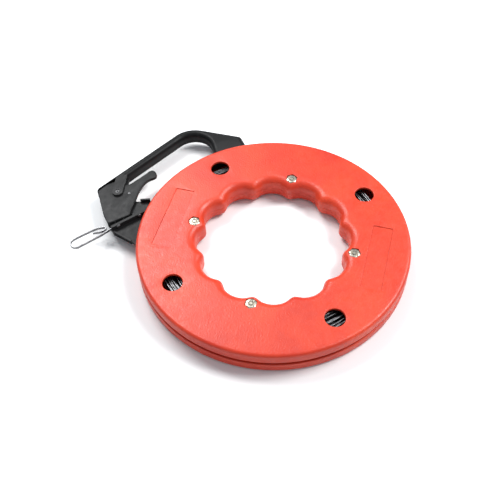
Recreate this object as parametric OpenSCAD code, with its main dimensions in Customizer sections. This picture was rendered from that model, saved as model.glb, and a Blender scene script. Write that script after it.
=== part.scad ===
// Fish tape reel: two clamped casing halves with a wavy hand opening, a coil of flat
// steel tape between them, and a handle that runs round the rim on a captured rail.
// Units are millimetres, +Z is up, the origin is on the reel's axis at its underside.

/* [Casing] */
// Outside diameter of the casing
casing_diameter = 300; // [260:1:340]
// Overall thickness of the casing
casing_height = 29; // [26:0.5:36]
// Wall thickness of the casing halves
wall = 2.5; // [2:0.1:4]
// Rounding of the outer rim edges
rim_round = 4; // [2:0.5:6]
// Height of the slot round the rim
slot_height = 3.8; // [3.6:0.1:5]
// Inner radius of the lips that capture the handle's rail
lip_radius = 144; // [140:0.5:146]

/* [Hand opening] */
// Number of scallops round the hand opening
scallops = 12; // [8:1:16]
// Radius of each concave scallop
scallop_radius = 21.5; // [16:0.5:26]
// Distance of the scallop centres from the axis
scallop_pitch_radius = 63.5; // [58:0.5:68]
// Distance of the bump tips between the scallops from the axis
bump_tip = 77; // [74:0.5:80]
// Rounding of the hand opening's edges
opening_round = 9.5; // [6:0.5:10]

/* [Clamping bolts] */
// Number of clamping bolts
bolts = 4; // [3:1:6]
// Distance of the bolts from the axis
bolt_pitch_radius = 90.25; // [86:0.25:94]
// Bolt shank radius
bolt_radius = 3.1; // [2.5:0.1:4]
// Hexagon nut and bolt head width across flats
hex_flats = 11.1; // [9:0.1:13]
// Direction of the first bolt
bolt_angle = 40.14; // [0:0.01:90]

/* [Windows and labels] */
// Radius of the four view windows
window_radius = 10.75; // [8:0.25:13]
// Distance of the windows from the axis
window_pitch_radius = 121.7; // [116:0.1:126]
// Radial width of the blank label recess
label_width = 21.8; // [16:0.2:26]
// Tangential length of the blank label recess
label_length = 85.6; // [60:0.2:100]
// Depth of the blank label recess
label_depth = 0.8; // [0.4:0.1:1.2]

/* [Tape] */
// Tape width, measured along the reel's axis
tape_width = 3.2; // [2.5:0.1:3.4]
// Tape thickness
tape_thickness = 1.5; // [0.8:0.1:1.6]
// Distance of the straight leading tape from the axis
tape_line = 124.4; // [123:0.1:126]
// Inner radius of the wound coil
coil_inner = 103.5; // [102:0.5:110]
// Number of turns shown across the coil
coil_turns = 16; // [8:1:16]

/* [Handle] */
// Thickness of the handle's web and rail neck
web_thickness = 3.2; // [2.6:0.1:3.2]
// Width of the hand grip's section
grip_width = 11; // [9:0.5:13]
// Height of the hand grip's section
grip_height = 17; // [15:0.5:19]
// Radius of the grip's bend along its middle line
grip_bend_radius = 27.9; // [24:0.1:32]
// Direction of the grip's straight part
grip_angle = 11.35; // [9:0.05:13]
// Thickness of the soft pad on the grip
pad_thickness = 1.5; // [1:0.1:2]
// Height of the tape guide ridge above the web
ridge_height = 5.7; // [4:0.1:7]

/* [Brake] */
// Thickness of the brake lever plate
lever_thickness = 4; // [3:0.1:4.2]
// Radius of the lever's pivot pin
pivot_radius = 2.5; // [2:0.1:3]
// Radial running clearance between the pin and the lever's bush
pivot_clearance = 0.05; // [0.02:0.01:0.1]
// Angle the lever turns to grip the tape
brake_travel = 5.2; // [3:0.1:5.4]

/* [Hidden] */
$fn = 96;
eps = 0.01;
casing_r = casing_diameter / 2;
mid_z = casing_height / 2;
half_h = casing_height / 2;
slot_half = slot_height / 2;
lip_round = 1.2;
lip_drop = 6;
post_r = 8.4;
hub_r = 101;
hub_wall = 2;
hub_void_wall = 7;
bolt_clear = 0.3;
pocket_flats = hex_flats + 0.9;
pocket_depth = 5.6;
nut_height = 5;
head_height = 4;
window_angle = bolt_angle + 45;
label_angle = bolt_angle + 90;
label_mid_r = 114.6;

web_z0 = mid_z - web_thickness / 2;
web_z1 = mid_z + web_thickness / 2;
rail_r0 = 140;
rail_r1 = lip_radius - 0.5;
rail_z0 = mid_z - 5;
rail_z1 = mid_z + 5;
rail_start = 62;
rail_end = 150;
rim_clear = 0.8;
grip_z0 = mid_z - grip_height / 2;
grip_z1 = mid_z + grip_height / 2;
bend_x = 6.5;
bend_y = 176.5;
bend_end = -20;
flat_angle = 40.8;
grip_left = 121.9;
grip_half = grip_width / 2;
core_half = 2.5;
ux = cos(grip_angle);
uy = sin(grip_angle);
straight_turn = 90 + grip_angle - flat_angle;
foot_turn = bend_end - flat_angle;
foot_outer = 48.9;
foot_inner = 33;
foot_corner = 52.8;
foot_side = 24.9;
join_step = 0.05;
join_in = 0.5;
pole_flat = 0.03;
pad_edge = 1.4;

pivot_x = -105;
pivot_y = 165.2;
lever_z0 = web_z1 + 0.5;
lever_z1 = lever_z0 + lever_thickness;
tongue_z0 = lever_z1 + 0.3;
boss_r = 6.2;
bush_r = 4;
spring_r = 5.95;
leg_turn = -70.35;
leg_heading = -8.35;
leg_from = [pivot_x + (spring_r - 0.2) * cos(leg_turn), pivot_y + (spring_r - 0.2) * sin(leg_turn)];
pad_rivet_x = [-20, -9];
pad_rivet_y = -38.2;
spring_wire = 0.5;
post_x = -94.1;
post_y = 156.5;

trench_y0 = tape_line - tape_thickness / 2 - 0.35;
trench_y1 = tape_line + tape_thickness / 2 + 0.35;
strip_t = 0.4;
ridge_w = 3;
ridge_x0 = -136.4;
ridge_x1 = -91.9;
floor_z0 = mid_z - 5;
coil_z0 = 2.5;
leader_end = -41;

// regular hexagonal prism by width across flats
module hex(af, h) {
    cylinder(r = af / 2 / cos(30), h = h, $fn = 6);
}

// copies on a circle
module around(n, start = 0) {
    for (i = [0 : n - 1]) rotate([0, 0, start + i * 360 / n]) children();
}

// ---------- casing ----------

// half section of the casing block, from the parting plane up, with the captured rim lip
module half_profile() {
    difference() {
        union() {
            translate([60, 0]) square([casing_r - rim_round - 60, half_h]);
            translate([60, 0]) square([casing_r - 60, half_h - rim_round]);
            translate([casing_r - rim_round, half_h - rim_round]) circle(r = rim_round);
        }
        // channel for the coil and the rail
        translate([hub_r, -1]) square([lip_radius - hub_r, half_h - wall + 1]);
        translate([lip_radius - 1, slot_half + lip_drop - lip_round])
            square([casing_r - wall - lip_radius + 1, half_h - wall - slot_half - lip_drop + lip_round]);
        // slot with a rounded outer edge
        translate([lip_radius - 1, -1]) square([20, slot_half + 1]);
        difference() {
            translate([casing_r - lip_round, slot_half - 1]) square([lip_round + 1, lip_round + 1]);
            translate([casing_r - lip_round, slot_half + lip_round]) circle(r = lip_round);
        }
    }
    // inner guide rib of the rail channel
    translate([rail_r0 - 2.7, 3]) square([2.2, half_h - wall - 2.5]);
}

// profile of an edge rounding, as distance from the wall and depth below the top
edge_steps = [for (a = [0 : 30 : 90]) opening_round * [1 - cos(a), sin(a) - 1]];

// one scallop's cutter with a flaring mouth, kept inside its own sector
module scallop_cut() {
    sector = tan(180 / scallops - 1.5);
    intersection() {
        translate([scallop_pitch_radius, 0, 0]) rotate_extrude()
            polygon(concat([[0, half_h + 1], [0, -1], [scallop_radius, -1]],
                           [for (e = edge_steps) [scallop_radius + e[0], half_h + e[1]]],
                           [[scallop_radius + opening_round, half_h + 1]]));
        translate([0, 0, -2]) linear_extrude(half_h + 4)
            polygon([
                [10, 0],
                [75, -75 * sector], [110, -110 * sector],
                [110, 110 * sector], [75, 75 * sector]
            ]);
    }
}

// round cutter that trims the bumps between the scallops
module bump_cut() {
    rotate_extrude() polygon(concat([[0, half_h + 1], [0, -1], [bump_tip, -1]],
                                    [for (e = edge_steps) [bump_tip + e[0], half_h + e[1]]],
                                    [[bump_tip + opening_round, half_h + 1]]));
}

// space between the scalloped wall and the winding hub
module hub_void() {
    difference() {
        cylinder(r = hub_r - hub_wall, h = half_h - wall);
        translate([0, 0, -1]) cylinder(r = bump_tip + hub_void_wall, h = half_h + 1);
        around(scallops, bolt_angle + 180 / scallops)
            translate([scallop_pitch_radius, 0, -1])
                cylinder(r = scallop_radius + hub_void_wall, h = half_h + 1);
        around(scallops, bolt_angle)
            translate([bolt_pitch_radius, 0, -1]) cylinder(r = post_r, h = half_h + 1);
    }
}

module casing_half(is_upper) {
    difference() {
        rotate_extrude() half_profile();
        bump_cut();
        around(scallops, bolt_angle + 180 / scallops) scallop_cut();
        translate([0, 0, -eps]) hub_void();
        around(bolts, bolt_angle) translate([bolt_pitch_radius, 0, 0]) {
            translate([0, 0, -1]) cylinder(r = bolt_radius + bolt_clear, h = half_h + 2);
            if (is_upper) translate([0, 0, half_h - pocket_depth]) hex(pocket_flats, pocket_depth + 1);
            else translate([0, 0, half_h - pocket_depth]) cylinder(r = 7.1, h = pocket_depth + 1);
        }
        around(4, window_angle) translate([window_pitch_radius, 0, half_h - wall - 1])
            cylinder(r = window_radius, h = wall + 2);
        if (is_upper) around(2, label_angle) translate([label_mid_r, 0, half_h])
            cube([label_width, label_length, 2 * label_depth], center = true);
    }
}

module upper_shell() {
    color([0.86, 0.16, 0.09]) translate([0, 0, mid_z]) casing_half(true);
}

module lower_shell() {
    color([0.86, 0.16, 0.09]) difference() {
        translate([0, 0, mid_z]) mirror([0, 0, 1]) casing_half(false);
        rotate([0, 0, 202]) translate([hub_r - 4, 0, 9.5]) rotate([0, 90, 0]) cylinder(r = 1.5, h = 6);
    }
}

module shell_bolts() {
    color([0.75, 0.76, 0.78]) around(bolts, bolt_angle) translate([bolt_pitch_radius, 0, 0]) {
        translate([0, 0, pocket_depth - head_height]) hex(hex_flats, head_height);
        translate([0, 0, pocket_depth - eps])
            cylinder(r = bolt_radius, h = casing_height - pocket_depth - 0.4);
    }
}

module shell_nuts() {
    color([0.8, 0.8, 0.8]) around(bolts, bolt_angle)
        translate([bolt_pitch_radius, 0, casing_height - pocket_depth]) difference() {
            intersection() {
                hex(hex_flats, nut_height);
                translate([0, 0, -1.2])
                    cylinder(r1 = hex_flats * 0.66 + 2, r2 = hex_flats * 0.5, h = nut_height + 1.2);
            }
            translate([0, 0, -1]) cylinder(r = bolt_radius + 0.02, h = nut_height + 2);
        }
}

// ---------- tape store ----------

// upper edge of each turn, so the turns stand a little unevenly
function turn_top(i) = 21.8 + 0.5 * sin(i * 137) + 0.4 * cos(i * 71);

module tape_coil() {
    color([0.35, 0.36, 0.38]) rotate_extrude($fn = 192) for (i = [0 : coil_turns - 1])
        translate([coil_inner + i * tape_thickness, coil_z0])
            square([tape_thickness, turn_top(i) - coil_z0]);
}

module anchor_clip() {
    color([0.7, 0.71, 0.73]) rotate([0, 0, 196]) difference() {
        rotate_extrude(angle = 12) translate([hub_r + 0.05, 5]) square([1.2, 9]);
        rotate([0, 0, 6]) translate([hub_r - 2, 0, 9.5]) rotate([0, 90, 0]) cylinder(r = 1.5, h = 6);
    }
}

module anchor_rivet() {
    color([0.6, 0.61, 0.63]) rotate([0, 0, 202]) translate([0, 0, 9.5]) rotate([0, 90, 0]) {
        translate([0, 0, hub_r + 1.3]) cylinder(r = 2.6, h = 0.8);
        translate([0, 0, hub_r - 3]) cylinder(r = 1.45, h = 4.4);
        translate([0, 0, hub_r - hub_wall - 0.9]) cylinder(r = 2.4, h = 0.8);
    }
}

// ---------- handle ----------

// frame with its origin at the bend's centre and +X through the start of the foot
module at_bend() {
    translate([bend_x, bend_y, 0]) rotate([0, 0, flat_angle]) children();
}

// straight run that enters the bend's end and goes away from the foot
module straight_run(to) {
    rotate([0, 0, straight_turn]) translate([grip_bend_radius, to, 0]) rotate([90, 0, 0])
        linear_extrude(to + join_in) children();
}

module bend_run() {
    rotate_extrude(angle = straight_turn) translate([grip_bend_radius, 0]) children();
}

module foot_run(len) {
    translate([grip_bend_radius, 0, 0]) rotate([90, 0, 0]) linear_extrude(len) children();
}

// grip's section, smaller by step all round
module stadium(step = 0, wall = 0) {
    r = grip_half - step - wall;
    straight = (grip_height - grip_width) / 2;
    translate([-r, mid_z - straight]) square([2 * r, 2 * straight]);
    for (z = [-straight, straight]) translate([0, mid_z + z]) circle(r = r);
}

// outer part of the grip's section, from a little inside its middle line if asked
module part_stadium(step = 0, inside = 0) {
    intersection() {
        stadium(step);
        translate([-inside, -1]) square([grip_width, casing_height + 2]);
    }
}

// section turned about its middle line for a round end, with a small flat at each pole
module end_section() {
    intersection() {
        part_stadium();
        translate([0, grip_z0 + pole_flat]) square([grip_width, grip_height - 2 * pole_flat]);
    }
}

module pad_section(step = 0) {
    intersection() {
        difference() {
            stadium(step);
            stadium(-step, pad_thickness);
        }
        translate([pad_edge + step, 0]) square([20, casing_height]);
    }
}

// space the pad takes from the grip, open to the outside
module pad_room_section(step = 0) {
    difference() {
        translate([pad_edge - step, 0]) square([12, casing_height]);
        stadium(step, pad_thickness);
    }
}

// ties the pad's runs together inside its thickness
module pad_key() {
    at_bend() translate([grip_bend_radius + grip_half - pad_thickness / 2, 0, mid_z])
        cube([pad_thickness / 2, 2, 7], center = true);
}

module pad_room() {
    at_bend() {
        straight_run(grip_left - 14) pad_room_section(join_step);
        bend_run() pad_room_section();
        foot_run(30) pad_room_section();
    }
    pad_key();
}

function turned(p, a) = [p[0] * cos(a) - p[1] * sin(a), p[0] * sin(a) + p[1] * cos(a)];
foot_b = [grip_bend_radius, -foot_outer];
inner_line = grip_bend_radius - 0.1;

// plan of the grip's wide right-hand foot inside its middle line, grown by g
module foot_plan(g = 0) {
    difference() {
        polygon(concat([[grip_bend_radius + g, -6], [grip_bend_radius + g, -foot_outer]],
                       g > 0 ? [foot_b + turned([g, 0], -foot_corner)] : [],
                       [foot_b + turned([g, -foot_side], -foot_corner),
                        turned([inner_line - g, -foot_inner], foot_turn),
                        turned([inner_line - g, 0], foot_turn)]));
        circle(r = grip_bend_radius - g);
    }
}

module grip_solid() {
    at_bend() {
        straight_run(grip_left) stadium(join_step);
        bend_run() stadium();
        rotate([0, 0, straight_turn])
            translate([grip_bend_radius, grip_left, 0])
                rotate_extrude() end_section();
        translate([0, 0, grip_z0]) linear_extrude(grip_height) foot_plan();
        foot_run(foot_outer) part_stadium();
        translate([foot_b[0], foot_b[1], 0]) {
            rotate_extrude(angle = -foot_corner) end_section();
            rotate([0, 0, -foot_corner]) translate([0, join_in, 0]) rotate([90, 0, 0])
                linear_extrude(foot_side + join_in) part_stadium(join_step, 2.5);
        }
        // inner edge of the foot
        rotate([0, 0, 1]) rotate_extrude(angle = foot_turn - 1) translate([grip_bend_radius, 0])
            mirror([1, 0]) part_stadium(join_step, 2.5);
        rotate([0, 0, foot_turn]) translate([0, join_in, 0]) foot_run(foot_inner + join_in)
            mirror([1, 0]) part_stadium(2 * join_step, 2.4);
    }
}

// flat plate of the frame: web under the lever, core of the grip and root of the foot
module frame_plate() {
    translate([0, 0, web_z0]) linear_extrude(web_thickness) difference() {
        union() {
            polygon([[-65, 113.5], [-75.2, 131.3], [-78.2, 134.5], [-92.5, 143.1], [-94, 158], [-88, 172],
                     [-80, 184], [-84, 187], [-115.7, 180.9], [-121, 178.5], [-127.6, 163.5],
                     [-133.5, 144.5], [-135.8, 131], [-136.9, 124.4], [-136.4, 118.4], [-125, 91],
                     [-125.6, 82.9], [-108.5, 71.6]]);
            translate([bend_x, bend_y]) rotate(flat_angle) {
                rotate(straight_turn) translate([grip_bend_radius - core_half, 0])
                    square([2 * core_half, grip_left]);
                intersection() {
                    difference() {
                        circle(r = grip_bend_radius + core_half);
                        circle(r = grip_bend_radius - core_half);
                    }
                    rotate(straight_turn / 2) polygon([[0, 0], [60, -45], [60, 45]]);
                }
                foot_plan(1.5);
            }
            polygon([[24, 150], [57, 146], [50.1, 122.2], [16.2, 131]]);
        }
        circle(r = rail_r0 + 1, $fn = 192);
    }
}

module rib(p, q, w, z0, z1) {
    translate([p[0], p[1], z0]) rotate([0, 0, atan2(q[1] - p[1], q[0] - p[0])]) translate([0, -w / 2, 0])
        cube([norm(q - p), w, z1 - z0]);
}

// a point on the grip's middle line, measured back from the bend
function straight_at(s) = [bend_x - grip_bend_radius * uy - s * ux, bend_y + grip_bend_radius * ux - s * uy];
screw_points = [straight_at(88), straight_at(48), straight_at(8), [46, 165], [37, 160]];

module handle_frame() {
    color([0.1, 0.1, 0.11]) difference() {
        union() {
            frame_plate();
            rotate([0, 0, rail_start]) rotate_extrude(angle = rail_end - rail_start, $fn = 192)
                translate([rail_r0, rail_z0]) square([rail_r1 - rail_r0, rail_z1 - rail_z0]);
            // floor under the tape's trench and the brake shoe
            difference() {
                translate([0, 0, floor_z0]) linear_extrude(web_z0 - 0.3 - floor_z0)
                    polygon([[-136.2, 119], [-85, 119], [-85, 129], [-107, 134.5], [-135.4, 134.5]]);
                cylinder(r = casing_r + rim_clear, h = casing_height, $fn = 192);
            }
            difference() {
                translate([0, 0, floor_z0]) linear_extrude(web_z1 - floor_z0)
                    polygon([[-136.2, 117.5], [-90, 117.5], [-90, 122], [-136.2, 122]]);
                cylinder(r = casing_r + rim_clear, h = casing_height, $fn = 192);
            }
            difference() {
                translate([0, 0, floor_z0]) linear_extrude(web_z1 - floor_z0)
                    polygon([[-135.2, 133.2], [-102, 133.2], [-92, 137], [-92, 140], [-134.4, 138]]);
                cylinder(r = casing_r + rim_clear, h = casing_height, $fn = 192);
            }
            // tape guide ridge
            translate([ridge_x0, trench_y0 - strip_t - ridge_w, web_z1 - eps])
                cube([ridge_x1 - ridge_x0, ridge_w, ridge_height + eps]);
            // stiffening ribs
            rib([-135.8, 117.6], [-126.2, 94.2], 1.6, web_z1 - eps, web_z1 + 1.5);
            rib([-135.8, 117.6], [-126.2, 94.2], 1.6, web_z0 - 1.5, web_z0 + eps);
            rib([-88.8, 139.9], [-79.2, 134.2], 2, web_z1 - eps, web_z1 + 4.4);
            rib([-126.5, 163.5], [-123.4, 171.8], 2, web_z0 - 4, web_z0 + eps);
            rib([-132.6, 144.5], [-126.5, 163.5], 2, web_z0 - 4, web_z0 + eps);
            rib([-92.8, 144.8], [-94.8, 158], 2, web_z0 - 4, web_z0 + eps);
            // pivot boss
            translate([pivot_x, pivot_y, rail_z0]) cylinder(r = boss_r + 1.4, h = web_z0 - rail_z0 + eps);
        }
        // trench and tunnel for the tape
        translate([-150, trench_y0 - strip_t, web_z0 - 0.3])
            cube([95, trench_y1 - trench_y0 + strip_t, web_thickness + 0.6]);
        // pocket the brake shoe moves in
        translate([0, 0, web_z0 - 0.3]) linear_extrude(web_thickness + 1)
            polygon([
                [-140, trench_y1 - 0.5], [-106.5, trench_y1 - 0.5],
                [-106.5, 131], [-134.2, 132.8], [-140, 132.8]
            ]);
        translate([pivot_x, pivot_y, 0]) cylinder(r = pivot_radius + 0.02, h = 30);
        // slot for the spring's fixed leg
        translate([pivot_x, pivot_y, 0]) rotate([0, 0, 203 + brake_travel / 2])
            translate([spring_r, 0, web_z0 - 1]) cylinder(r = 1.1, h = 10);
        for (p = screw_points) translate([p[0], p[1], 0]) cylinder(r = 1.7, h = casing_height);
        for (x = [-128, -101])
            translate([x, trench_y0, web_z1 + 3])
                rotate([90, 0, 0]) cylinder(r = 1.22, h = 6);
    }
}

// region of the grip's upper left end that is left free for the lever
module lever_room() {
    at_bend() rotate([0, 0, straight_turn]) translate([grip_bend_radius - 40, grip_left - 25.5, web_z1 - 0.1])
        cube([40 + 2.95, 25.5 + 20, 20]);
}

module tongue() {
    translate([pivot_x, pivot_y, tongue_z0]) {
        cylinder(r = boss_r, h = grip_z1 - tongue_z0);
        rotate([0, 0, 50]) translate([0, -boss_r, 0]) cube([27, 2 * boss_r, grip_z1 - tongue_z0]);
    }
}

module rim_cut() {
    cylinder(r = casing_r + rim_clear, h = casing_height, $fn = 192);
}

module grip_upper() {
    color([0.12, 0.12, 0.13]) difference() {
        union() {
            difference() {
                grip_solid();
                lever_room();
            }
            tongue();
        }
        cube([600, 600, 2 * mid_z], center = true);
        pad_room();
        frame_plate();
        rim_cut();
        for (p = screw_points) translate([p[0], p[1], 0]) cylinder(r = 1.5, h = grip_z1 - 2.5);
        translate([pivot_x, pivot_y, 0]) cylinder(r = pivot_radius + 0.02, h = 30);
    }
}

module grip_lower() {
    color([0.12, 0.12, 0.13]) difference() {
        grip_solid();
        translate([-300, -300, mid_z]) cube([600, 600, 40]);
        pad_room();
        frame_plate();
        rim_cut();
        for (p = screw_points) translate([p[0], p[1], 0]) {
            cylinder(r = 1.7, h = casing_height);
            cylinder(r = 3.4, h = grip_z0 + 2.6);
        }
    }
}

module grip_pad() {
    color([0.05, 0.05, 0.05]) difference() {
        union() {
            at_bend() {
                straight_run(grip_left - 14) pad_section(join_step);
                bend_run() pad_section();
                foot_run(30) pad_section();
            }
            pad_key();
        }
        for (i = [0 : 2]) translate([screw_points[i][0], screw_points[i][1], 0]) cylinder(r = 3.5, h = mid_z);
    }
}

module handle_screws() {
    color([0.55, 0.56, 0.58]) for (p = screw_points) translate([p[0], p[1], grip_z0]) {
        translate([0, 0, 0.5]) difference() {
            cylinder(r = 3.1, h = 2.1);
            translate([0, 0, -1]) cylinder(r = 1.3, h = 2.2, $fn = 6);
        }
        translate([0, 0, 2.5]) cylinder(r = 1.45, h = grip_height - 6);
    }
}

// ---------- tape guide ----------

module guide_strip() {
    color([0.68, 0.69, 0.71]) difference() {
        translate([ridge_x0 + 1, trench_y0 - strip_t, web_z0 - 0.2])
            cube([ridge_x1 - ridge_x0 - 3, strip_t, web_thickness + 5]);
        for (x = [-128, -101])
            translate([x, trench_y0 + 1, web_z1 + 3])
                rotate([90, 0, 0]) cylinder(r = 1.22, h = 6);
    }
}

module guide_rivets() {
    color([0.62, 0.63, 0.65]) for (x = [-128, -101])
        translate([x, trench_y0 - 0.02, web_z1 + 3]) rotate([90, 0, 0]) {
            cylinder(r = 1.2, h = strip_t + ridge_w);
            translate([0, 0, strip_t + ridge_w - 0.02]) cylinder(r1 = 2.1, r2 = 1.5, h = 0.7);
        }
}

// ---------- brake ----------

module pivot_pin() {
    color([0.72, 0.73, 0.75]) translate([pivot_x, pivot_y, 0]) difference() {
        translate([0, 0, rail_z0 - 2.2]) cylinder(r = pivot_radius, h = grip_z1 - 0.5 - rail_z0 + 2.2);
        translate([0, 0, rail_z0 - 1.1]) difference() {
            cylinder(r = 4, h = 0.9);
            translate([0, 0, -1]) cylinder(r = pivot_radius - 0.5, h = 3);
        }
        translate([0, 0, grip_z1 - 1.3]) cylinder(r = 1, h = 2);
    }
}

module pivot_clip() {
    color([0.5, 0.5, 0.52]) translate([pivot_x, pivot_y, rail_z0 - 1.05])
        rotate([0, 0, 60]) rotate_extrude(angle = 300) translate([pivot_radius - 0.45, 0]) square([2.2, 0.8]);
}

module lever_outline() {
    polygon([[-123.2, 180.6], [-110, 183.9], [-101, 183.2], [-96, 177.5], [-91.5, 170.2], [-86.6, 168.7],
             [-69.5, 171.4], [-57.5, 173.9], [-54.8, 173.6], [-53, 172.2], [-52.2, 170], [-52.2, 166.5],
             [-53.2, 163.3], [-55.2, 161.3], [-57.8, 160.6], [-63, 161.6], [-67, 161.5], [-72, 160],
             [-77, 157], [-84.5, 151.6], [-92, 144.3], [-98, 138.6], [-105.2, 132.2], [-108.8, 127.9],
             [-111.5, 126.6], [-134.4, 128.7], [-136.4, 130.2], [-136.3, 132.5], [-134.6, 144.4],
             [-128.8, 163.3]]);
}

module brake_lever() {
    color([0.2, 0.2, 0.21]) difference() {
        union() {
            translate([0, 0, lever_z0]) linear_extrude(lever_thickness) lever_outline();
            translate([pivot_x, pivot_y, lever_z0 - 0.2]) cylinder(r = 5.2, h = 1);
        }
        translate([pivot_x, pivot_y, 0]) cylinder(r = bush_r, h = 30);
        // ring recess for the spring and groove for its moving leg
        translate([pivot_x, pivot_y, lever_z0 - 1]) difference() {
            cylinder(r = spring_r + 1, h = 3.2);
            cylinder(r = spring_r - 0.8, h = 3.2);
        }
        rib(leg_from, leg_from + 11.2 * [cos(leg_heading), sin(leg_heading)], 1.4,
            lever_z0 - 1, lever_z0 + 1.4);
        translate([post_x, post_y, 0]) cylinder(r = 1.52, h = 30);
        at_pad() for (x = pad_rivet_x) translate([x, pad_rivet_y, lever_z0 - 1]) cylinder(r = 1.2, h = 3.6);
    }
}

module lever_bush() {
    color([0.72, 0.55, 0.28]) translate([pivot_x, pivot_y, lever_z0 - 0.3]) difference() {
        cylinder(r = bush_r - 0.02, h = lever_thickness + 0.4);
        translate([0, 0, -1]) cylinder(r = pivot_radius + pivot_clearance, h = lever_thickness + 3);
    }
}

module return_spring() {
    color([0.6, 0.61, 0.64]) translate([pivot_x, pivot_y, lever_z0 + 0.55]) {
        for (i = [0, 1]) translate([0, 0, i * 1.04]) rotate_extrude()
            translate([spring_r, 0]) circle(r = spring_wire);
        rotate([0, 0, 203]) translate([spring_r, 0, -2.4]) cylinder(r = spring_wire - 0.1, h = 2.4);
        // leg that bears on the lever's post
        rotate([0, 0, leg_turn]) translate([spring_r - 0.2, 0, 0.03]) rotate([0, 0, leg_heading - leg_turn])
            rotate([0, 90, 0]) cylinder(r = spring_wire - 0.1, h = 10.6);
    }
}

module spring_post() {
    color([0.8, 0.8, 0.82]) translate([post_x, post_y, 0]) {
        translate([0, 0, lever_z0 + 0.2]) cylinder(r = 1.5, h = lever_thickness - 0.15);
        translate([0, 0, lever_z1]) intersection() {
            cylinder(r = 2, h = 0.22);
            translate([0, 0, -7.75]) sphere(r = 8);
        }
    }
}

// frame at the pivot, turned so that the shoe's face lies along the tape when the lever is pulled
module at_pad() {
    translate([pivot_x, pivot_y, 0]) rotate([0, 0, -brake_travel]) children();
}

module brake_pad() {
    color([0.16, 0.16, 0.17]) at_pad() difference() {
        translate([-26, -39.95, web_z0 + 0.2]) cube([22.5, 3.4, lever_z0 - web_z0 - 0.2]);
        for (x = pad_rivet_x) translate([x, pad_rivet_y, 0]) cylinder(r = 1.22, h = 30);
    }
}

module pad_rivets() {
    color([0.6, 0.61, 0.63]) at_pad() for (x = pad_rivet_x)
        translate([x, pad_rivet_y, web_z0 + 0.3]) cylinder(r = 1.15, h = lever_z0 + 2.4 - web_z0 - 0.3);
}

// ---------- leading tape with its folded eye ----------

function unit(v) = v / norm(v);
function heading(p, i) = let (j = max(0, min(len(p) - 2, i))) unit(p[j + 1] - p[j]);
// sideways step at point i, lengthened at a bend so the band keeps its width
function side_step(p, i) = let (a = heading(p, i - 1), b = heading(p, i), m = unit(a + b))
    [-m[1], m[0]] / (m * a);
function arc(c, r, a0, a1, n) = [for (i = [0 : n]) let (a = a0 + (a1 - a0) * i / n) c + r * [cos(a), sin(a)]];
function band(p, w) = concat([for (i = [0 : len(p) - 1]) p[i] + side_step(p, i) * w / 2],
                             [for (i = [len(p) - 1 : -1 : 0]) p[i] - side_step(p, i) * w / 2]);

eye_centre = [-177.6, 128.75];
eye_radius = 6.4;
fold_centre = [-142.5, 129.55];
fold_radius = 2.25;
tape_path = concat(
    [[leader_end, tape_line], [-138.6, tape_line], [-145, 123.8], [-151.7, 123]],
    arc(eye_centre, eye_radius, -86, -272, 14),
    [[-168, 135.3], [-157.5, 135], [-151, 134.6], [-146.3, 133.4]],
    arc(fold_centre, fold_radius, 68, -104, 8),
    [[-146, 127.3], [-150, 128.4], [-155.9, 131]]);

module tape_leader() {
    color([0.72, 0.73, 0.75]) translate([0, 0, mid_z - tape_width / 2]) linear_extrude(tape_width)
        polygon(band(tape_path, tape_thickness));
}

upper_shell();
lower_shell();
shell_bolts();
shell_nuts();
tape_coil();
anchor_clip();
anchor_rivet();
handle_frame();
grip_upper();
grip_lower();
grip_pad();
handle_screws();
guide_strip();
guide_rivets();
pivot_pin();
pivot_clip();
brake_lever();
lever_bush();
return_spring();
spring_post();
brake_pad();
pad_rivets();
tape_leader();
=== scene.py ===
"""Looks of the fish tape reel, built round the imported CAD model.

Lengths are in millimetres until make_mesh() turns them into metres.
"""
import math
import random

import bmesh
import bpy
from mathutils import Matrix, Vector


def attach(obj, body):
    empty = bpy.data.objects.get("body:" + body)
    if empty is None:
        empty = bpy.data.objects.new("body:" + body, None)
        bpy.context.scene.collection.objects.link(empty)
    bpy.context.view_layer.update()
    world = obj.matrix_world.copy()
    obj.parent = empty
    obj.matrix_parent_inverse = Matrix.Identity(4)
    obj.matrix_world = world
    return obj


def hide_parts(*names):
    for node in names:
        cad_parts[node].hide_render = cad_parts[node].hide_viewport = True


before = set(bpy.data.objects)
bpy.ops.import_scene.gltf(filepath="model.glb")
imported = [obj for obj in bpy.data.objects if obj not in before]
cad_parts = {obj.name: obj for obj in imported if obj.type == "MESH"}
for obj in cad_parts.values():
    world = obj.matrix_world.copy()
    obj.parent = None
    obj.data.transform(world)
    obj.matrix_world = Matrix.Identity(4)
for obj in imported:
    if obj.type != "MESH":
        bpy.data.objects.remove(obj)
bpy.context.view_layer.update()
MM = 0.001
rng = random.Random(7)

# ---------------------------------------------------------------- materials


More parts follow.
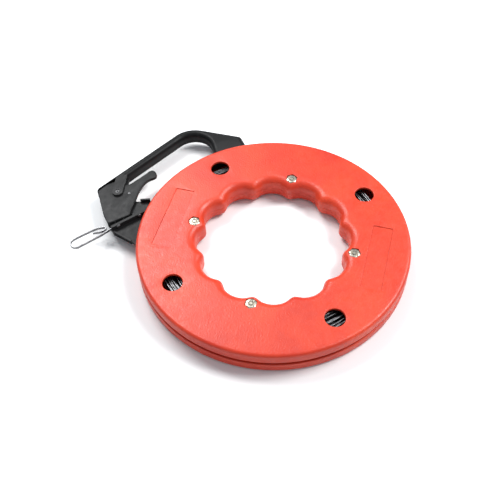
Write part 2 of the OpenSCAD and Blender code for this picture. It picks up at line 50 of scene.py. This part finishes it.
class Nodes:
    """A material's node tree, with short calls for what every finish here uses."""

    def __init__(self, name):
        self.material = bpy.data.materials.new(name)
        self.material.use_nodes = True
        self.tree = self.material.node_tree
        self.shader = self.tree.nodes["Principled BSDF"]
        self.place = self.add("ShaderNodeTexCoord").outputs["Object"]

    def add(self, kind, **inputs):
        node = self.tree.nodes.new(kind)
        for key, value in inputs.items():
            node.inputs[key.replace("_", " ")].default_value = value
        return node

    def link(self, a, b):
        self.tree.links.new(a, b)

    def noise(self, scale, detail=3.0, roughness=0.55, stretch=None):
        node = self.add("ShaderNodeTexNoise", Scale=scale, Detail=detail, Roughness=roughness)
        place = self.place
        if stretch:
            mapping = self.add("ShaderNodeMapping", Scale=stretch)
            self.link(place, mapping.inputs["Vector"])
            place = mapping.outputs["Vector"]
        self.link(place, node.inputs["Vector"])
        return node.outputs["Fac"]

    def spread(self, value, low, high, start=0.3, end=0.7):
        node = self.add("ShaderNodeMapRange")
        node.inputs["From Min"].default_value = start
        node.inputs["From Max"].default_value = end
        node.inputs["To Min"].default_value = low
        node.inputs["To Max"].default_value = high
        self.link(value, node.inputs["Value"])
        return node.outputs["Result"]

    def mix(self, factor, a, b):
        node = self.add("ShaderNodeMix")
        node.data_type = "RGBA"
        self.link(factor, node.inputs["Factor"])
        for name, colour in (("A", a), ("B", b)):
            socket = [s for s in node.inputs if s.name == name and s.type == "RGBA"][0]
            if isinstance(colour, tuple):
                socket.default_value = (*colour, 1)
            else:
                self.link(colour, socket)
        return [s for s in node.outputs if s.type == "RGBA"][0]

    def bump(self, *layers):
        normal = None
        for height, distance, strength in layers:
            node = self.add("ShaderNodeBump", Strength=strength, Distance=distance)
            self.link(height, node.inputs["Height"])
            if normal:
                self.link(normal, node.inputs["Normal"])
            normal = node.outputs["Normal"]
        self.link(normal, self.shader.inputs["Normal"])

    def finish(self, **values):
        for key, value in values.items():
            self.shader.inputs[key.replace("_", " ")].default_value = value
        return self.material


PATCH_SCALE = 22.0
GLOSS_SCALE = 140.0
GLOSS_SPREAD = 0.07
SPECKLE_SHARE = 0.5
SINK_SCALE = 30.0
SINK_RELIEF = 0.0008


def moulded_plastic(name, dark, light, worn, roughness, grain, relief, wear=0.25, **values):
    """Moulded plastic with a pebbled grain, slow shade changes and edges rubbed lighter.

    grain is the pebbles' number per metre, relief their height in metres.
    """
    n = Nodes(name)
    patches = n.spread(n.noise(PATCH_SCALE, 4.0), 0.0, 1.0)
    colour = n.mix(patches, dark, light)
    speckle = n.spread(n.noise(grain * 0.9, 2.0), 0.0, SPECKLE_SHARE, 0.42, 0.68)
    colour = n.mix(speckle, colour, dark)
    edge = n.add("ShaderNodeNewGeometry").outputs["Pointiness"]
    rubbed = n.spread(edge, 0.0, wear, 0.51, 0.6)
    colour = n.mix(rubbed, colour, worn)
    n.link(colour, n.shader.inputs["Base Color"])
    gloss = n.spread(n.noise(GLOSS_SCALE, 5.0), roughness - GLOSS_SPREAD, roughness + GLOSS_SPREAD)
    n.link(gloss, n.shader.inputs["Roughness"])
    cells = n.add("ShaderNodeTexVoronoi", Scale=grain)
    cells.feature = "SMOOTH_F1"
    n.link(n.place, cells.inputs["Vector"])
    n.bump((cells.outputs["Distance"], relief, 0.55), (n.noise(grain * 2.2, 2.0), relief / 3, 0.5),
           (n.noise(SINK_SCALE, 2.0), SINK_RELIEF, 0.12))
    return n.finish(**values)


TARNISH_SCALE = 260.0
BRUSHED_SCALE = 900.0
BRUSHED_RELIEF = 0.00005


def metal(name, dark, light, roughness, grain=(1, 1, 1), bump=0.12):
    """Metal with a fine grain, which may be stretched one way, and faint tarnish."""
    n = Nodes(name)
    colour = n.mix(n.spread(n.noise(TARNISH_SCALE, 4.0), 0.0, 1.0), dark, light)
    n.link(colour, n.shader.inputs["Base Color"])
    brushed = n.noise(BRUSHED_SCALE, stretch=grain)
    n.link(n.spread(brushed, roughness - 0.08, roughness + 0.1), n.shader.inputs["Roughness"])
    n.bump((brushed, BRUSHED_RELIEF, bump))
    return n.finish(Metallic=1.0)


FINISH = {
    "reel_plastic": moulded_plastic(
        "reel_plastic", dark=(0.53, 0.024, 0.006), light=(0.70, 0.054, 0.014),
        worn=(0.80, 0.11, 0.05), roughness=0.4, grain=760.0, relief=0.00034, wear=0.5,
        Specular_IOR_Level=0.5),
    "black_plastic": moulded_plastic(
        "black_plastic", dark=(0.006, 0.006, 0.0063), light=(0.010, 0.010, 0.0104),
        worn=(0.05, 0.05, 0.051), roughness=0.4, grain=900.0, relief=0.00014,
        Specular_IOR_Level=0.13),
    "lever_plastic": moulded_plastic(
        "lever_plastic", dark=(0.010, 0.010, 0.0103), light=(0.016, 0.016, 0.0163),
        worn=(0.06, 0.06, 0.06), roughness=0.44, grain=900.0, relief=0.00016,
        Specular_IOR_Level=0.17),
    "pad_rubber": moulded_plastic(
        "pad_rubber", dark=(0.004, 0.004, 0.004), light=(0.008, 0.008, 0.008),
        worn=(0.02, 0.02, 0.02), roughness=0.7, grain=1200.0, relief=0.0001,
        Specular_IOR_Level=0.2),
    "zinc_steel": metal("zinc_steel", (0.2, 0.2, 0.205), (0.36, 0.36, 0.365), 0.42),
    "blackened_steel": metal("blackened_steel", (0.03, 0.03, 0.031), (0.09, 0.09, 0.092), 0.42),
    "nickel_nut": metal("nickel_nut", (0.33, 0.305, 0.25), (0.5, 0.465, 0.385), 0.36, bump=0.08),
    "spring_steel": metal("spring_steel", (0.10, 0.10, 0.105), (0.30, 0.30, 0.31), 0.34),
    "tape_steel": metal("tape_steel", (0.12, 0.12, 0.125), (0.26, 0.26, 0.265), 0.34,
                        grain=(1, 1, 0.12)),
    "bronze": metal("bronze", (0.42, 0.25, 0.1), (0.62, 0.41, 0.19), 0.38),
}

# ---------------------------------------------------------------- mesh building


def make_mesh(name, points, faces, finish, body, replaces=(), flat_angle=32.0):
    """A piece from points in millimetres, riding on a body, shaded smooth up to flat_angle."""
    mesh = bpy.data.meshes.new(name)
    mesh.from_pydata([Vector(p) * MM for p in points], [], faces)
    bm = bmesh.new()
    bm.from_mesh(mesh)
    bmesh.ops.remove_doubles(bm, verts=bm.verts, dist=1e-7)
    bmesh.ops.recalc_face_normals(bm, faces=bm.faces)
    bm.to_mesh(mesh)
    bm.free()
    mesh.validate()
    mesh.shade_smooth()
    mesh.set_sharp_from_angle(angle=math.radians(flat_angle))
    piece = bpy.data.objects.new(name, mesh)
    bpy.context.scene.collection.objects.link(piece)
    piece.data.materials.append(FINISH[finish])
    if body:
        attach(piece, body)
    if replaces:
        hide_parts(*replaces)
    return piece


def rings_mesh(rings, closed_rows=True, caps=False):
    """Points and faces of a surface through closed rings of points, all with the same number.

    closed_rows joins the last ring to the first; caps closes the first and last ring instead.
    """
    count = len(rings[0])
    points = [p for ring in rings for p in ring]
    faces = []
    rows = len(rings) if closed_rows else len(rings) - 1
    for i in range(rows):
        a, b = i * count, (i + 1) % len(rings) * count
        for j in range(count):
            k = (j + 1) % count
            faces.append((a + j, a + k, b + k, b + j))
    if caps:
        faces.append(tuple(range(count)))
        faces.append(tuple(reversed(range((len(rings) - 1) * count, len(rings) * count))))
    return points, faces


def joined(parts):
    """Several (points, faces) as one."""
    points, faces = [], []
    for p, f in parts:
        base = len(points)
        points += p
        faces += [tuple(i + base for i in face) for face in f]
    return points, faces


def placed(part, matrix):
    points, faces = part
    return [tuple(matrix @ Vector(p)) for p in points], faces


def polar(radius, degrees, z=0.0):
    return (radius * math.cos(math.radians(degrees)), radius * math.sin(math.radians(degrees)), z)


def hex_ring(flats, z, start=0.0, per_side=6):
    """A hexagon's outline by its width across flats."""
    corners = [Vector(polar(flats / math.sqrt(3), start + 60 * i, z)) for i in range(6)]
    return [tuple(corners[i].lerp(corners[(i + 1) % 6], j / per_side))
            for i in range(6) for j in range(per_side)]


CUT_SHARP_ANGLE = math.radians(40)


def cut_away(piece, cutters):
    """Takes the cutters' space from the piece for good, and shades it smooth again."""
    for cutter in cutters:
        modifier = piece.modifiers.new("cut", "BOOLEAN")
        modifier.object = cutter
        modifier.operation = "DIFFERENCE"
        modifier.solver = "EXACT"
    evaluated = piece.evaluated_get(bpy.context.evaluated_depsgraph_get())
    mesh = bpy.data.meshes.new_from_object(evaluated)
    piece.modifiers.clear()
    piece.data = mesh
    piece.data.shade_smooth()
    piece.data.set_sharp_from_angle(angle=CUT_SHARP_ANGLE)
    for cutter in cutters:
        bpy.data.objects.remove(cutter)


# ---------------------------------------------------------------- casing

TOP = 29.0
MIDDLE = 14.5
CASING_RADIUS = 150.0
RIM_ROUND = 4.0
WALL = 2.5
SCALLOPS = 12
SCALLOP_CENTRE = 63.5
SCALLOP_RADIUS = 21.5
BOLT_RADIUS = 90.25
BUMP_RADIUS = 13.25
BOLT_ANGLE = 40.14
OPENING_ROUND = 9.5
SLOT_HALF = 1.9
LIP_ROUND = 1.2
LIP_RADIUS = 144.0
HUB_RADIUS = 101.0
WINDOW_ANGLE = 85.14
WINDOW_CENTRE = 121.7
WINDOW_RADIUS = 10.75
LABEL_ANGLE = 130.14
LABEL_CENTRE = 114.6
LABEL_SIZE = (21.8, 85.6)
LABEL_DEPTH = 0.8
BOLT_HOLE_RADIUS = 2.7
POCKET_DEPTH = 5.6
NUT_POCKET_FLATS = 12.0
HEAD_POCKET_RADIUS = 7.1
AROUND = 1080
ROUND_STEPS = 12
RIM_STEPS = 8
LIP_STEPS = 6
PARTING_GAP = 0.01


def opening_radius(angle, depth):
    """Radius of the scalloped wall at an angle, moved into the plastic by depth."""
    period = 360.0 / SCALLOPS
    from_bump = (angle - BOLT_ANGLE + period / 2) % period - period / 2
    from_scallop = math.radians(period / 2 - abs(from_bump))
    reach = SCALLOP_RADIUS + depth
    side = SCALLOP_CENTRE * math.sin(from_scallop)
    radius = SCALLOP_CENTRE * math.cos(from_scallop) + math.sqrt(reach * reach - side * side)
    bump = BUMP_RADIUS - depth
    across = BOLT_RADIUS * math.sin(math.radians(abs(from_bump)))
    if across < bump:
        middle = BOLT_RADIUS * math.cos(math.radians(from_bump))
        radius = max(radius, middle - math.sqrt(bump * bump - across * across))
    return radius


def smoothed(values, reach=7, passes=2):
    """Running mean round a closed list."""
    n = len(values)
    for _ in range(passes):
        values = [sum(values[(i + k) % n] for k in range(-reach, reach + 1)) / (2 * reach + 1)
                  for i in range(n)]
    return values


def casing_shell(name, node):
    """The upper half of the casing; the lower one is its mirror image."""
    angles = [360.0 * j / AROUND for j in range(AROUND)]

    def wall_ring(depth, z):
        radii = smoothed([opening_radius(a, depth) for a in angles])
        return [polar(r, a, z) for r, a in zip(radii, angles)]

    def circle(radius, z):
        return [polar(radius, a, z) for a in angles]

    def rounding(radius, steps, first=0):
        """How far a rounded edge has moved (across, up) at each step of its quarter turn."""
        turns = [math.radians(90 * i / steps) for i in range(first, steps + 1)]
        return [(radius * (1 - math.cos(t)), radius * (1 - math.sin(t))) for t in turns]

    rings = [wall_ring(0.3, MIDDLE + PARTING_GAP), wall_ring(0.0, MIDDLE + 0.35),
             wall_ring(0.0, TOP - OPENING_ROUND - 4), wall_ring(0.0, TOP - OPENING_ROUND)]
    rings += [wall_ring(across, TOP - down)
              for across, down in rounding(OPENING_ROUND, ROUND_STEPS, first=1)]
    rings += [circle(98.0, TOP), circle(CASING_RADIUS - RIM_ROUND - 2, TOP)]
    rings += [circle(CASING_RADIUS - up, TOP - across)
              for across, up in rounding(RIM_ROUND, RIM_STEPS)]
    rings += [circle(CASING_RADIUS - across, MIDDLE + SLOT_HALF + up)
              for across, up in rounding(LIP_ROUND, LIP_STEPS)]
    channel = ((LIP_RADIUS + 0.4, MIDDLE + SLOT_HALF), (LIP_RADIUS, MIDDLE + SLOT_HALF + 0.4),
               (LIP_RADIUS, MIDDLE + 4.4), (CASING_RADIUS - WALL, MIDDLE + 5),
               (CASING_RADIUS - WALL, TOP - WALL), (HUB_RADIUS, TOP - WALL),
               (HUB_RADIUS, MIDDLE + PARTING_GAP))
    rings += [circle(radius, z) for radius, z in channel]
    upper = node == "upper_shell"
    if not upper:
        rings = [[(x, y, 2 * MIDDLE - z) for x, y, z in ring] for ring in rings]
    points, faces = rings_mesh(rings)
    shell = make_mesh(name, points, faces, "reel_plastic", None)
    cut_away(shell, shell_cutters(upper))
    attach(shell, "casing")
    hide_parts(node)
    return shell


def flared(outline, top, depth, lip, steps=5):
    """Cutter with a rounded mouth. outline(grow, z) gives its ring at a height, grown by grow."""
    rings = [outline(0.0, top - depth), outline(0.0, top - lip)]
    for i in range(1, steps + 1):
        turn = math.radians(90 * i / steps)
        rings.append(outline(lip * (1 - math.cos(turn)), top - lip * (1 - math.sin(turn))))
    rings.append(outline(lip + 0.3, top + 1.0))
    return rings_mesh(rings, closed_rows=False, caps=True)


def circle_outline(radius, steps=72):
    return lambda grow, z: [polar(radius + grow, 360 * j / steps, z) for j in range(steps)]


def hex_outline(flats):
    return lambda grow, z: hex_ring(flats + 2 * grow, z)


def label_outline(grow, z, corner=1.6, steps=5):
    """Rounded rectangle of the plain label recess."""
    ring = []
    half = [s / 2 + grow for s in LABEL_SIZE]
    r = corner + grow
    for sx, sy, first in ((1, 1, 0), (-1, 1, 90), (-1, -1, 180), (1, -1, 270)):
        for i in range(steps + 1):
            x, y, _ = polar(r, first + 90 * i / steps)
            ring.append((sx * (half[0] - r) + x, sy * (half[1] - r) + y, z))
    return ring


def shell_cutters(upper):
    """Windows, bolt holes, pockets and, in the upper half, the two label recesses."""
    cutters = []

    def add(part, radius, angle):
        place = Matrix.Rotation(math.radians(angle), 4, "Z") @ Matrix.Translation((radius, 0, 0))
        points, faces = placed(part, place)
        if not upper:
            points = [(x, y, 2 * MIDDLE - z) for x, y, z in points]
        cutters.append(make_mesh("cutter", points, faces, "reel_plastic", None))

    window = flared(circle_outline(WINDOW_RADIUS), TOP, WALL + 2, 0.7)
    bolt_hole = flared(circle_outline(BOLT_HOLE_RADIUS, 32), TOP, 20, 0.3)
    pocket = hex_outline(NUT_POCKET_FLATS) if upper else circle_outline(HEAD_POCKET_RADIUS, 48)
    for i in range(4):
        add(window, WINDOW_CENTRE, WINDOW_ANGLE + 90 * i)
        add(bolt_hole, BOLT_RADIUS, BOLT_ANGLE + 90 * i)
        add(flared(pocket, TOP, POCKET_DEPTH, 0.4), BOLT_RADIUS, BOLT_ANGLE + 90 * i)
    if upper:
        for i in range(2):
            add(flared(label_outline, TOP, LABEL_DEPTH, 0.25), LABEL_CENTRE, LABEL_ANGLE + 180 * i)
    return cutters


casing_shell("upper_half", "upper_shell")
casing_shell("lower_half", "lower_shell")

# ---------------------------------------------------------------- bolts and nuts

NUT_FLATS = 11.1
NUT_HEIGHT = 5.0
NUT_SPIN = 8
BOLT_SHANK = 2.5
BOLT_END = 28.6
HEAD_BOTTOM, HEAD_TOP = 0.6, 5.6
THREAD_PITCH = 0.8
THREAD_DEPTH = 0.32
THREAD_START = 20
CORNER_DROP = 0.55
AROUND_HEX = 60


def around_bolts(part, spin=0):
    """Four copies of a part, each turned by up to spin degrees in its pocket."""
    parts = []
    for i in range(4):
        turn = Matrix.Rotation(math.radians(BOLT_ANGLE + 90 * i), 4, "Z")
        loose = Matrix.Rotation(math.radians(rng.uniform(-spin, spin) if spin else 0), 4, "Z")
        parts.append(placed(part, turn @ Matrix.Translation((BOLT_RADIUS, 0, 0)) @ loose))
    return joined(parts)


def even_ring(radius, z, steps=AROUND_HEX):
    return [polar(radius, 360 * j / steps, z) for j in range(steps)]


def chamfered_hex(z0, z1, hole=None):
    """Hexagonal nut or head with its corners turned off at both ends."""
    def cornered(z, up):
        ring = []
        for x, y, _ in hex_ring(NUT_FLATS, z, per_side=AROUND_HEX // 6):
            past = max(0.0, math.hypot(x, y) - NUT_FLATS / 2 - 0.05)
            ring.append((x, y, z - up * CORNER_DROP * past))
        return ring

    rings = [even_ring(NUT_FLATS / 2 - 0.35, z0), cornered(z0 + 0.25, -1),
             cornered(z1 - 0.25, 1), even_ring(NUT_FLATS / 2 - 0.35, z1)]
    if hole:
        rings = ([even_ring(hole, z0 + 0.1), even_ring(hole + 0.5, z0)] + rings
                 + [even_ring(hole + 0.55, z1), even_ring(hole, z1 - 0.5)])
        return rings_mesh(rings)
    rings.append(even_ring(NUT_FLATS / 2 - 1.6, z1))
    return rings_mesh(rings, closed_rows=False, caps=True)


def nut():
    base = TOP - POCKET_DEPTH
    return chamfered_hex(base, base + NUT_HEIGHT, BOLT_SHANK + 0.02)


def bolt():
    """Hex-head bolt from below, with rolled thread showing above the nut."""
    steps = 24
    rings = []
    z = HEAD_TOP - 0.4
    while z < BOLT_END - 0.6:
        in_thread = z > THREAD_START
        ring = []
        for j in range(steps):
            wave = 0.5 + 0.5 * math.cos(2 * math.pi * (z / THREAD_PITCH - j / steps))
            radius = BOLT_SHANK - (THREAD_DEPTH * wave if in_thread else 0)
            ring.append(polar(radius, 360 * j / steps, z))
        rings.append(ring)
        z += THREAD_PITCH / 5 if in_thread else 3.6
    rings.append(even_ring(BOLT_SHANK - 0.3, BOLT_END - 0.45, steps))
    rings.append(even_ring(BOLT_SHANK - 0.75, BOLT_END, steps))
    shank = rings_mesh(rings, closed_rows=False, caps=True)
    return joined([chamfered_hex(HEAD_BOTTOM, HEAD_TOP), shank])


make_mesh("hex_nuts", *around_bolts(nut(), NUT_SPIN), "nickel_nut", "casing", ("shell_nuts",))
make_mesh("through_bolts", *around_bolts(bolt()), "nickel_nut", "casing", ("shell_bolts",))

# ---------------------------------------------------------------- wound tape

COIL_INNER = 103.5
COIL_BOTTOM = 2.6
TURNS = 16
TURN_STEPS = 180
TAPE_THICKNESS = 1.5
TAPE_WIDTH = 3.2
LAYERS = 6
LOOSE_TURNS = (0.4, 2.6, 4.3, 7.0, 8.6, 10.9, 12.7)
LOOSE_LIFTS = (0.1, 0.3)
FULL_TURN = 6.28


def rounded_box_section(width, height, corner=0.35, steps=2):
    """(side, up) points of the flat tape's section."""
    ring = []
    for sx, sy, first in ((1, 1, 0), (-1, 1, 90), (-1, -1, 180), (1, -1, 270)):
        for i in range(steps + 1):
            x, y, _ = polar(corner, first + 90 * i / steps)
            ring.append((sx * (width / 2 - corner) + x, sy * (height / 2 - corner) + y))
    return ring


def wound_turn(radius, z, wobble, sway, phase):
    """One closed turn of tape that wavers in height and, where there is room, in radius."""
    section = rounded_box_section(TAPE_THICKNESS - 0.35, TAPE_WIDTH - 0.2)
    rings = []
    for j in range(TURN_STEPS):
        angle = 360 * j / TURN_STEPS
        a = math.radians(angle)
        dz = wobble * (math.sin(2 * a + phase) + 0.5 * math.sin(5 * a + 2.3 * phase)) / 1.5
        dr = sway * (math.sin(3 * a + 1.7 * phase) + 0.6 * math.sin(7 * a + phase)) / 1.6
        tilt = 0.25 * dr / 2
        rings.append([polar(radius + dr + x * math.cos(tilt) - y * math.sin(tilt), angle,
                            z + dz + x * math.sin(tilt) + y * math.cos(tilt))
                      for x, y in section])
    return rings_mesh(rings)


def layer_height(layer):
    return COIL_BOTTOM + TAPE_WIDTH * (layer + 0.5)


# Neat turns below, and the loose ones that the windows show on top
turns = []
for layer in range(LAYERS - 2):
    for i in range(TURNS):
        radius = COIL_INNER + (i + 0.5) * TAPE_THICKNESS
        phase = rng.uniform(0, FULL_TURN)
        turns.append(wound_turn(radius, layer_height(layer), 0.06, 0.0, phase))
for layer, lift in zip((LAYERS - 2, LAYERS - 1), LOOSE_LIFTS):
    for i in LOOSE_TURNS:
        radius = COIL_INNER + 2.6 + (i + 0.8 * (layer % 2)) * TAPE_THICKNESS
        phase = rng.uniform(0, FULL_TURN)
        turns.append(wound_turn(radius, layer_height(layer) + lift, 0.25, 1.7, phase))
make_mesh("tape_turns", *joined(turns), "spring_steel", "casing", ("tape_coil",))

# ---------------------------------------------------------------- leading tape and its folded eye


def arc(centre, radius, start, end, count):
    step = (end - start) / count
    points = [polar(radius, start + step * i) for i in range(count + 1)]
    return [(centre[0] + x, centre[1] + y) for x, y, _ in points]


def smooth_path(path, spacing=0.8):
    """Catmull-Rom curve through the points of a path, at an even spacing."""
    p = [Vector((*q, 0)) for q in path]
    p = [2 * p[0] - p[1]] + p + [2 * p[-1] - p[-2]]
    out = []
    for i in range(1, len(p) - 2):
        steps = max(1, round((p[i + 1] - p[i]).length / spacing))
        for k in range(steps):
            t = k / steps
            out.append(0.5 * ((2 * p[i]) + (p[i + 1] - p[i - 1]) * t
                              + (2 * p[i - 1] - 5 * p[i] + 4 * p[i + 1] - p[i + 2]) * t * t
                              + (3 * p[i] - p[i - 1] - 3 * p[i + 1] + p[i + 2]) * t ** 3))
    out.append(p[-2])
    return out


def swept(path, section, z):
    """A section (side, up) carried along a level path."""
    rings = []
    for i, q in enumerate(path):
        along = (path[min(i + 1, len(path) - 1)] - path[max(i - 1, 0)]).normalized()
        side = Vector((-along.y, along.x, 0))
        rings.append([tuple(q + side * x + Vector((0, 0, z + y))) for x, y in section])
    return rings_mesh(rings, closed_rows=False, caps=True)


TAPE_LINE = 124.4
LEADING_RUN = [(-41, TAPE_LINE), (-90, TAPE_LINE), (-132, TAPE_LINE),
               (-138.6, 124.3), (-145, 123.8), (-151.7, 123)]
EYE_BACK = [(-168, 135.3), (-157.5, 135), (-151, 134.6), (-146.3, 133.4)]
FOLDED_END = [(-146, 127.3), (-150, 128.4), (-155.9, 131)]
tape_path = (LEADING_RUN + arc((-177.6, 128.75), 6.4, -86, -272, 14) + EYE_BACK
             + arc((-142.5, 129.55), 2.25, 68, -104, 8) + FOLDED_END)
tape_section = rounded_box_section(TAPE_THICKNESS, TAPE_WIDTH, 0.45, 3)
make_mesh("leading_tape", *swept(smooth_path(tape_path), tape_section, MIDDLE),
          "tape_steel", "leader", ("tape_leader",))

# ---------------------------------------------------------------- brake lever

LEVER_BOTTOM, LEVER_TOP = 16.6, 20.6
LEVER_ROUND = 0.8
LEVER_HOLES = ((-105.0, 165.2, 4.02), (-94.1, 156.5, 1.52))


def rounded_corners(outline, reach=1.6, steps=5):
    """Outline with each corner replaced by a short curve."""
    out = []
    n = len(outline)
    for i in range(n):
        before, here, after = (Vector(outline[(i + k) % n]) for k in (-1, 0, 1))
        a = here + (before - here).normalized() * min(reach, (before - here).length * 0.4)
        b = here + (after - here).normalized() * min(reach, (after - here).length * 0.4)
        for k in range(steps + 1):
            t = k / steps
            out.append(a * (1 - t) ** 2 + here * 2 * t * (1 - t) + b * t * t)
    return out


def inset(outline, amount):
    """Outline moved inwards. It runs anticlockwise."""
    out = []
    n = len(outline)
    for i in range(n):
        before, here, after = outline[i - 1], outline[i], outline[(i + 1) % n]
        a, b = (here - before).normalized(), (after - here).normalized()
        normal = Vector((-(a.y + b.y), a.x + b.x)).normalized()
        out.append(here + normal * amount / max(0.5, normal.dot(Vector((-a.y, a.x)))))
    return out


def plate(outline, z0, z1, edge, steps=5):
    """Plate with rounded edges."""
    rings = []
    for i in range(steps + 1):
        turn = math.radians(90 * i / steps)
        ring = inset(outline, edge * (1 - math.sin(turn)))
        rings.append([(p.x, p.y, z0 + edge * (1 - math.cos(turn))) for p in ring])
    for i in range(steps + 1):
        turn = math.radians(90 * i / steps)
        ring = inset(outline, edge * (1 - math.cos(turn)))
        rings.append([(p.x, p.y, z1 - edge * (1 - math.sin(turn))) for p in ring])
    return rings_mesh(rings, closed_rows=False, caps=True)


# Clockwise from the plate's back corner, past the thumb tab, to the tape's side
LEVER_OUTLINE = [(-123.2, 180.6), (-110, 183.9), (-101, 183.2), (-96, 177.5), (-91.5, 170.2),
                 (-86.6, 168.7), (-69.5, 171.4), (-57.5, 173.9), (-54.8, 173.6), (-53, 172.2),
                 (-52.2, 170), (-52.2, 166.5), (-53.2, 163.3), (-55.2, 161.3), (-57.8, 160.6),
                 (-63, 161.6), (-67, 161.5), (-72, 160), (-77, 157), (-84.5, 151.6),
                 (-92, 144.3), (-98, 138.6), (-105.2, 132.2), (-108.8, 127.9), (-111.5, 126.6),
                 (-134.4, 128.7), (-136.4, 130.2), (-136.3, 132.5), (-134.6, 144.4),
                 (-128.8, 163.3)]
lever_edge = [Vector(p) for p in rounded_corners(list(reversed(LEVER_OUTLINE)))]
lever = make_mesh("lever_plate", *plate(lever_edge, LEVER_BOTTOM, LEVER_TOP, LEVER_ROUND),
                  "lever_plastic", None)
holes = []
for x, y, radius in LEVER_HOLES:
    hole = placed(flared(circle_outline(radius, 40), LEVER_TOP, 5.0, 0.3),
                  Matrix.Translation((x, y, 0)))
    holes.append(make_mesh("cutter", *hole, "lever_plastic", None))
cut_away(lever, holes)
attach(lever, "lever")
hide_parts("brake_lever")

# ---------------------------------------------------------------- CAD nodes kept as they are

KEPT = {
    "black_plastic": ("handle_frame", "grip_upper", "grip_lower"),
    "pad_rubber": ("grip_pad", "brake_pad"),
    "zinc_steel": ("anchor_clip", "anchor_rivet", "handle_screws", "guide_strip",
                   "guide_rivets", "pivot_clip", "pad_rivets"),
    "blackened_steel": ("pivot_pin", "spring_post"),
    "spring_steel": ("return_spring",),
    "bronze": ("lever_bush",),
}
EDGE_ROUND = 0.35

for finish, nodes in KEPT.items():
    for node in nodes:
        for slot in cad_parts[node].material_slots:
            slot.material = FINISH[finish]

for node in KEPT["black_plastic"]:
    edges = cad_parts[node].modifiers.new("edges", "BEVEL")
    edges.width = EDGE_ROUND * MM
    edges.segments = 2
    edges.limit_method = "ANGLE"
    edges.angle_limit = math.radians(40)

# ---------------------------------------------------------------- stage, light and camera

FLOOR_SIZE = 14.0


def make_floor():
    mesh = bpy.data.meshes.new("floor")
    half = FLOOR_SIZE / 2
    corners = [(-half, -half, 0), (half, -half, 0), (half, half, 0), (-half, half, 0)]
    mesh.from_pydata(corners, [], [(0, 1, 2, 3)])
    floor = bpy.data.objects.new("floor", mesh)
    bpy.context.scene.collection.objects.link(floor)
    n = Nodes("floor_paper")
    paper = n.mix(n.noise(4.0), (0.86, 0.86, 0.86), (0.88, 0.88, 0.88))
    n.link(paper, n.shader.inputs["Base Color"])
    n.finish(Roughness=0.9)
    mesh.materials.append(n.material)


def aimed(obj, place, target):
    obj.location = place
    obj.rotation_euler = (Vector(target) - Vector(place)).to_track_quat("-Z", "Y").to_euler()
    bpy.context.scene.collection.objects.link(obj)
    return obj


def area_light(name, place, size, power):
    """Round lamp aimed at the reel's middle."""
    data = bpy.data.lights.new(name, "AREA")
    data.shape = "DISK"
    data.size = size
    data.energy = power
    return aimed(bpy.data.objects.new(name, data), place, (0, 0, 0))


make_floor()
area_light("key", (1.6, -0.45, 2.0), 1.2, 63.0)
area_light("softbox", (0.0, 1.15, 1.4), 0.9, 26.0)


HORIZON_LIGHT, OVERHEAD_LIGHT = 0.28, 0.6
ROOM_COLOUR = (0.86, 0.93, 1.0)


def studio_world():
    """Pale room: brighter overhead, dimmer towards the horizon."""
    world = bpy.data.worlds.new("studio")
    world.use_nodes = True
    tree = world.node_tree
    place = tree.nodes.new("ShaderNodeTexCoord")
    split = tree.nodes.new("ShaderNodeSeparateXYZ")
    ramp = tree.nodes.new("ShaderNodeMapRange")
    ramp.inputs["To Min"].default_value = HORIZON_LIGHT
    ramp.inputs["To Max"].default_value = OVERHEAD_LIGHT
    background = tree.nodes["Background"]
    background.inputs["Color"].default_value = (*ROOM_COLOUR, 1)
    tree.links.new(place.outputs["Generated"], split.inputs["Vector"])
    tree.links.new(split.outputs["Z"], ramp.inputs["Value"])
    tree.links.new(ramp.outputs["Result"], background.inputs["Strength"])
    bpy.context.scene.world = world


studio_world()
bpy.context.scene.view_settings.view_transform = "Standard"

CAMERA_TARGET = (-0.01852, 0.01792, 0.0)
CAMERA_BACK = Vector((-0.33689, -0.51876, 0.78575)).normalized()
CAMERA_DISTANCE = 0.80065
CAMERA_ROLL = -1.94
CAMERA_LENS = 51.08

camera_data = bpy.data.cameras.new("camera")
camera_data.lens = CAMERA_LENS
camera_data.sensor_width = 36.0
camera = bpy.data.objects.new("camera", camera_data)
aimed(camera, Vector(CAMERA_TARGET) + CAMERA_BACK * CAMERA_DISTANCE, CAMERA_TARGET)
roll = Matrix.Rotation(math.radians(CAMERA_ROLL), 3, "Z")
camera.rotation_euler = (camera.rotation_euler.to_matrix() @ roll).to_euler()
bpy.context.scene.camera = camera
